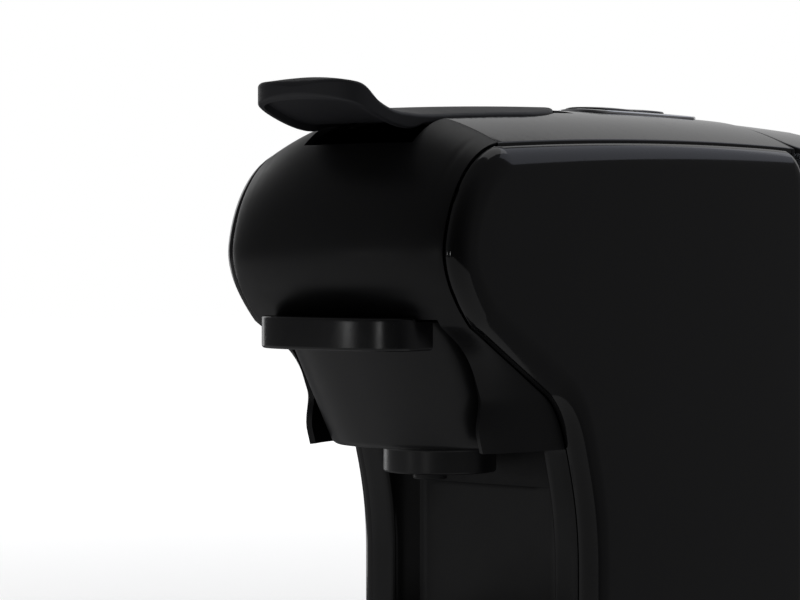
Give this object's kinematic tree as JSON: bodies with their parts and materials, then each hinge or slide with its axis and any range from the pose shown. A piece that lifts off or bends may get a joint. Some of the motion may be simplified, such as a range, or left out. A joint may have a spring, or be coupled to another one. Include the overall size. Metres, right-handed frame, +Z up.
{
  "type": "pod coffee machine",
  "caption": "Slim black pod coffee machine: top lever, slide-in capsule adapter, two brew buttons, drip tray and lift-off rear water tank.",
  "frame": {"origin": "centre of the bounding box on the worktop plane", "axes": "+Z up, front faces -Y, +X to the right seen from the front"},
  "size_m": [0.118, 0.322, 0.2448],
  "materials": {
    "gloss_black": "gloss",
    "satin_black": "satin",
    "matte_black": "matte",
    "steel": "brushed",
    "chrome": "polished",
    "aluminium": "cast",
    "brass": "machined",
    "rubber": "matte",
    "silicone": "matte",
    "tank_clear": "gloss",
    "board_green": "satin",
    "pale_plastic": "satin",
    "red_plastic": "satin",
    "lens_white": "gloss"
  },
  "bodies": {
    "machine": {"side_panel_right": "gloss_black", "side_panel_left": "gloss_black", "front_cover": "satin_black", "top_cover": "gloss_black", "lever_pin": "steel", "hinge_bracket": "steel", "brew_bridge": "steel", "guide_posts": "steel", "brew_housing": "matte_black", "column_front": "satin_black", "inner_frame": "matte_black", "rear_cover": "satin_black", "cable_gland": "rubber", "base_housing": "satin_black", "bottom_plate": "matte_black", "feet": "rubber", "tank_seat": "red_plastic", "control_bezel": "chrome", "status_lens": "lens_white", "control_board": "board_green", "small_button_spring": "steel", "large_button_spring": "steel", "pump_body": "pale_plastic", "pump_coil": "matte_black", "pump_mounts": "rubber", "pump_spring": "steel", "flow_meter": "pale_plastic", "thermoblock": "aluminium", "thermostat": "matte_black", "thermal_fuse": "steel", "power_board": "board_green", "supply_hoses": "silicone", "pump_hose": "silicone", "brew_hose": "silicone", "base_screws": "steel"},
    "lever": {"lever": "satin_black", "crank_pin": "steel"},
    "press": {"press_carriage": "aluminium", "press_head": "matte_black", "press_seal": "silicone", "inlet_needle": "steel", "press_inlet": "brass"},
    "adapter": {"adapter_body": "satin_black", "adapter_grip": "satin_black", "capsule_cup": "steel", "outlet_sieve": "steel", "outlet_collar": "satin_black", "outlet_nozzle": "matte_black"},
    "small_button": {"small_cup_button": "gloss_black"},
    "large_button": {"large_cup_button": "gloss_black"},
    "plunger": {"pump_plunger": "steel"},
    "rotor": {"flow_rotor": "pale_plastic"},
    "tank": {"water_tank": "tank_clear", "tank_outlet": "matte_black", "poppet_spring": "steel"},
    "lid": {"tank_lid": "gloss_black"},
    "poppet": {"tank_poppet": "red_plastic"},
    "tray": {"drip_tray": "satin_black"},
    "grid": {"drip_grid": "steel"},
    "float": {"tray_float": "red_plastic"}
  },
  "joints": [
    {"name": "lever_hinge", "type": "hinge", "parent": "machine", "child": "lever", "pos_m": [0, -0.018, 0.23], "axis": [-1, 0, 0], "range_deg": [0, 75]},
    {"name": "press_slide", "type": "slide", "parent": "machine", "child": "press", "axis": [0, 0, 1], "range_m": [0, 0.00927], "deforming": ["brew_hose"]},
    {"name": "adapter_slide", "type": "slide", "parent": "machine", "child": "adapter", "axis": [0, -1, 0], "range_m": [0, 0.085]},
    {"name": "small_button_press", "type": "slide", "parent": "machine", "child": "small_button", "axis": [0, 0, -1], "range_m": [0, 0.0012], "stiffness_N_per_m": 600, "springref_m": -0.0005, "deforming": ["small_button_spring"]},
    {"name": "large_button_press", "type": "slide", "parent": "machine", "child": "large_button", "axis": [0, 0, -1], "range_m": [0, 0.0012], "stiffness_N_per_m": 600, "springref_m": -0.0005, "deforming": ["large_button_spring"]},
    {"name": "plunger_slide", "type": "slide", "parent": "machine", "child": "plunger", "axis": [0, 0, 1], "range_m": [-0.003, 0.003], "stiffness_N_per_m": 800, "deforming": ["pump_spring"]},
    {"name": "rotor_spin", "type": "hinge", "parent": "machine", "child": "rotor", "pos_m": [0.024, 0.064, 0.03], "axis": [0, 0, 1], "continuous": true},
    {"name": "tank_lift", "type": "slide", "parent": "machine", "child": "tank", "axis": [0, 0, 1], "range_m": [0, 0.1]},
    {"name": "lid_hinge", "type": "hinge", "parent": "tank", "child": "lid", "pos_m": [0, 0.1592, 0.2241], "axis": [-1, 0, 0], "range_deg": [0, 95]},
    {"name": "poppet_slide", "type": "slide", "parent": "tank", "child": "poppet", "axis": [0, 0, 1], "range_m": [0, 0.002], "stiffness_N_per_m": 60, "springref_m": -0.003, "deforming": ["poppet_spring"]},
    {"name": "tray_slide", "type": "slide", "parent": "machine", "child": "tray", "axis": [0, -1, 0], "range_m": [0, 0.09]},
    {"name": "grid_lift", "type": "slide", "parent": "tray", "child": "grid", "axis": [0, 0, 1], "range_m": [0, 0.03]},
    {"name": "float_rise", "type": "slide", "parent": "tray", "child": "float", "axis": [0, 0, 1], "range_m": [0, 0.006]}
  ],
  "couplings": [
    {"joint": "press_slide", "follows": "lever_hinge", "m_per_rad": 0.007069}
  ]
}
